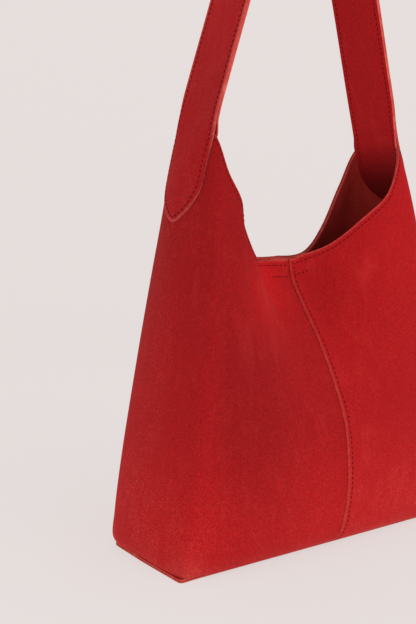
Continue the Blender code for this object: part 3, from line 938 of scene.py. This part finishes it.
def strap_face(tables, tip, round_length, lift, offset, edge=STRAP_EDGE):
    """The outer face of a strap layer from tongue to tongue, [across][along]."""
    loop = loop_path(offset)
    across = np.sin(np.linspace(-0.5, 0.5, 27) * math.pi) * edge
    tongue_edge = edge - TONGUE_INSET
    lines = []
    for y in across[::-1]:
        share = min(1, abs(y) / edge)
        rise = round_length * (1 - math.sqrt(max(0, 1 - share ** (4 / 3))))
        ends = []
        for side, sign in (("left", -1), ("right", 1)):
            heights = np.linspace(tip + rise, HORN_TOP - 0.2 * MM, TONGUE_ROWS)
            widen = smoothstep((heights - 285 * MM) / (27 * MM))
            narrow = y * (1 - (1 - tongue_edge / edge) * (1 - widen))
            x = horn_x(tables, side, narrow, heights) + sign * lift
            ends.append(np.stack([x, narrow, heights], axis=1))
        middle = np.stack([loop[:, 0], np.full(len(loop), y), loop[:, 1]], axis=1)
        above = middle[:, 2] - HORN_TOP
        step = (lift - offset / math.cos(STRAP_LEAN)) * (1 - smoothstep(above / (10 * MM)))
        for sign, end in ((-1, ends[0]), (1, ends[1])):
            own = middle[:, 0] * sign > 0
            top = end[-1, 0] - sign * lift
            below = horn_x(tables, SIDE_NAME[sign], [y], np.array([HORN_TOP - SLOPE_RUN]))[0]
            horn = top + (top - below) / SLOPE_RUN * above
            straight = sign * (STRAP_MIDDLE_AT_HORN - above * math.tan(STRAP_LEAN))
            drift = (horn - straight) * (1 - smoothstep(above / (36 * MM)))
            middle[:, 0] += np.where(own, drift + sign * step, 0)
        line = np.concatenate([ends[0], middle[1:-1], ends[1][::-1]])
        line[:, 0] += sway(line[:, 0], line[:, 2])
        lines.append(line)
    return np.array(lines)


def grid_normals(points):
    """Unit normals of an open grid."""
    around, up = np.gradient(points, axis=0), np.gradient(points, axis=1)
    return unit(np.cross(around, up))


def bend_with_strap(piece):
    """Bakes the piece's placing into its mesh."""
    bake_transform(piece)


def outline_row(face_args, inset):
    """(points, normals) of the closed stitch row this far inside a strap layer's outline."""
    tables, tip, round_length, lift, offset = face_args
    inside = strap_face(
        tables, tip + inset, round_length * 0.94, lift, offset, edge=STRAP_EDGE - inset
    )
    normal = grid_normals(inside)
    return [
        np.concatenate([v[0], v[1:, -1], v[-1, ::-1][1:], v[::-1, 0][1:]])
        for v in (inside, normal)
    ]


def make_strap():
    """The strap's two layers, the tape between them and their rows of stitches."""
    tables = {side: horn_table(side) for side in ("left", "right")}
    outer_args = (tables, OUTER_TIP, OUTER_ROUND, LAYER + SEWN_GAP, TAPE_HALF + LAYER)
    outer = strap_face(*outer_args)
    normal = grid_normals(outer)
    across_edge = np.minimum(
        np.linalg.norm(outer - outer[:1], axis=-1), np.linalg.norm(outer - outer[-1:], axis=-1)
    )
    tips = np.minimum(*(np.linalg.norm(outer - outer[:, [k]], axis=-1) for k in (0, -1)))
    to_edge = np.minimum(across_edge, tips)
    # the outer layer is drawn a little lighter towards the top of the loop
    rise = smoothstep((outer[..., 2] - 325 * MM) / (110 * MM))
    painted = {
        "wear": 0.9 * np.exp(-((to_edge / (1.4 * MM)) ** 2)), "nap_and_painted_light": 1 + 0.12 * rise,
        "rub": np.full(rise.shape, 0.28),
    }
    groove = -0.25 * MM * bump(to_edge, STRAP_STITCH_ROW, 0.9 * MM)
    outer = outer + normal * groove[..., None]
    full = 0.9 * MM + 0.58 * MM * (1 - smoothstep((to_edge - 3 * MM) / (2 * MM)))
    top = sheet("strap_outer_leather", outer, normal, full, [STRAP_RED, FLESH, EDGE_BROWN], painted)
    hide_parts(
        "strap_outer_layer", "left_outer_strap_end", "right_outer_strap_end",
        "left_strap_bend", "right_strap_bend",
    )
    bend_with_strap(top)

    under_args = (tables, INNER_TIP, INNER_ROUND, -(SUEDE + SEWN_GAP), 0)
    under = strap_face(*under_args)
    under_normal = grid_normals(under)
    # painted shade: the inner layer is drawn darker lower down its tongues, where the bag's mouth
    # shades it
    rise = smoothstep((under[..., 2] - 272 * MM) / (52 * MM))
    painted = {
        "wear": np.zeros(rise.shape), "nap_and_painted_light": 0.30 + 0.90 * rise, "rub": 0.1 * rise,
    }
    low = sheet(
        "strap_inner_leather", under, under_normal, INNER_LAYER, [FLESH, STRAP_RED, EDGE], painted
    )
    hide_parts("strap_inner_layer", "left_inner_strap_end", "right_inner_strap_end")
    bend_with_strap(low)

    middle = strap_face(
        tables, 300 * MM, 0, 0.0, 2 * TAPE_HALF - LAYER_GAP, edge=TAPE_SHARE * STRAP_EDGE
    )
    strip = middle[:, TONGUE_ROWS:-TONGUE_ROWS]
    tape = sheet(
        "strap_reinforcing_tape", strip, grid_normals(strip), TAPE_THICKNESS, [TAPE] * 3
    )
    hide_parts("strap_tape")
    bend_with_strap(tape)

    outside = stitches("strap_outer_stitches", [outline_row(outer_args, STRAP_STITCH_ROW)], THREAD)
    bend_with_strap(outside)
    points, normals = outline_row(under_args, STRAP_STITCH_ROW)
    line = (points - normals * INNER_LAYER)[::-1], -normals[::-1]
    inside = stitches("strap_inner_stitches", [line], THREAD)
    bend_with_strap(inside)


make_strap()


# ---------------------------------------------------------------- base

def rounded_outline(corners, radius, steps=7):
    """A closed outline through these corners, each rounded off by about the radius."""
    corners = np.array(corners)
    points = []
    for before, corner, after in zip(
        np.roll(corners, 1, axis=0), corners, np.roll(corners, -1, axis=0), strict=True
    ):
        start = corner + unit(before - corner) * radius
        end = corner + unit(after - corner) * radius
        for t in np.linspace(0, 1, steps):
            points.append((1 - t) ** 2 * start + 2 * t * (1 - t) * corner + t**2 * end)
    return np.array(points)


BASE_ROUNDING = 4 * MM
BASE_CHAMFER = 0.15 * MM
RING_SCALES = (0.02, 0.35, 0.7, 0.9)


def plate(name, corners, low, high, materials):
    """A flat layer with cut edges: its rings run out below, over the edge and back in."""
    edge = rounded_outline(corners, BASE_ROUNDING)
    rings = []
    for z, scales in ((low, RING_SCALES), (high, RING_SCALES[::-1])):
        cut = edge * (1 - BASE_CHAMFER / np.abs(edge[:, :1]).max())
        inner = [np.column_stack([edge * s, np.full(len(edge), z)]) for s in scales]
        border = [np.column_stack([cut, np.full(len(cut), z)])]
        lift = BASE_CHAMFER if z == low else -BASE_CHAMFER
        side = [np.column_stack([edge, np.full(len(edge), z + lift)])]
        rings += inner + border + side if z == low else side + border + inner
    points = np.concatenate(rings)
    count = len(edge)
    faces, slots = [], []
    edge_at = range(len(RING_SCALES), len(RING_SCALES) + 3)
    for ring in range(len(rings) - 1):
        a = np.arange(count) + ring * count
        b = a + count
        faces.append(np.stack([a, np.roll(a, -1), np.roll(b, -1), b], axis=1))
        slots += [1 if ring in edge_at else 0] * count
    faces = np.concatenate(faces)
    mesh = bpy.data.meshes.new(name)
    caps = [list(range(count))[::-1], list(range(len(points) - count, len(points)))]
    mesh.from_pydata(points.tolist(), [], faces.tolist() + caps)
    mesh.polygons.foreach_set("material_index", np.array(slots + [0, 0], np.int32))
    for material in materials:
        mesh.materials.append(material)
    mesh.shade_smooth()
    mesh.set_sharp_from_angle(angle=math.radians(35))
    piece = linked(name, mesh)
    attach(piece, "bag")
    return piece


BASE_CORNERS = np.array([
    (140.2, 42.5), (133.5, 49.4), (-133.5, 49.4), (-140.4, 42.5), (-142.0, 0), (-142.0, -50.6),
    (-128, -49.8), (0, -49.6), (133.5, -49.0), (140.2, -42.5),
]) * MM
lower = plate("base_suede", BASE_CORNERS, 0, 0.97 * MM, [BASE_RED, EDGE_BROWN])
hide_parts("base_panel")
upper = plate(
    "base_turned_layer", BASE_CORNERS * (0.997, 0.988), 1.02 * MM, 2.0 * MM, [BASE_RED, EDGE]
)

for node, material in (
    ("base_board", BOARD), ("front_magnet", STEEL), ("back_magnet", STEEL),
):
    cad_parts[node].data.materials[0] = material


# ---------------------------------------------------------------- stage, light, camera

def make_stage():
    """A pale floor, just below the bag, that curves up into a backdrop."""
    profile = [(-2.5, 0.0), (1.2, 0.0)]
    for angle in np.linspace(0, math.pi / 2, 16)[1:]:
        profile.append((1.2 + 0.8 * math.sin(angle), 0.8 * (1 - math.cos(angle))))
    profile.append((2.0, 4.0))
    points, faces = [], []
    for x in (-4.0, 4.0):
        points += [(x, y, z - FLOOR_DROP) for y, z in profile]
    count = len(profile)
    for i in range(count - 1):
        faces.append((i, i + count, i + count + 1, i + 1))
    mesh = bpy.data.meshes.new("studio_floor")
    mesh.from_pydata(points, [], faces)
    mesh.shade_smooth()
    floor = linked("studio_floor", mesh)
    floor.rotation_euler = (0, 0, CAMERA_TURN)
    material = bpy.data.materials.new("pale_paper")
    material.use_nodes = True
    shader = material.node_tree.nodes["Principled BSDF"]
    shader.inputs["Base Color"].default_value = (*(0.25 * c for c in PAPER), 1)
    shader.inputs["Roughness"].default_value = 1.0
    shader.inputs["Specular IOR Level"].default_value = 0.0
    shader.inputs["Emission Color"].default_value = (*PAPER, 1)
    shader.inputs["Emission Strength"].default_value = PAPER_GLOW
    mesh.materials.append(material)


def add_light(name, location, target, size, power):
    """A soft rectangular lamp that looks at the target."""
    light = bpy.data.lights.new(name, "AREA")
    light.shape = "RECTANGLE"
    light.size, light.size_y = size
    light.energy = power
    lamp = linked(name, light)
    lamp.location = location
    aim = np.array(target) - np.array(location)
    lamp.rotation_euler = (
        math.acos(-aim[2] / np.linalg.norm(aim)), 0, math.atan2(aim[1], aim[0]) - math.pi / 2
    )


FLOOR_DROP = 0.0004
CAMERA_TURN = math.radians(-35.5)
PAPER = (0.791, 0.738, 0.723)
PAPER_GLOW = 0.80
make_stage()
add_light("front_softbox", (0.5, -1.8, 0.5), (0, 0, 0.2), (1.3, 1.3), 15)
add_light("left_softbox", (-1.7, -0.3, 1.0), (0, 0, 0.2), (1.4, 1.4), 8)

world = bpy.data.worlds.new("studio_air")
world.use_nodes = True
world.node_tree.nodes["Background"].inputs["Color"].default_value = (1.0, 0.985, 0.975, 1)
world.node_tree.nodes["Background"].inputs["Strength"].default_value = 0.62
bpy.context.scene.world = world
bpy.context.scene.view_settings.view_transform = "Standard"

camera_data = bpy.data.cameras.new("camera")
camera_data.lens = 53.08
camera_data.sensor_width = 36
camera_data.clip_start, camera_data.clip_end = 0.05, 20
camera = linked("camera", camera_data)
camera.location = (-0.4828, -0.5615, 0.254)
camera.rotation_euler = (math.radians(84), 0, CAMERA_TURN)
bpy.context.scene.camera = camera
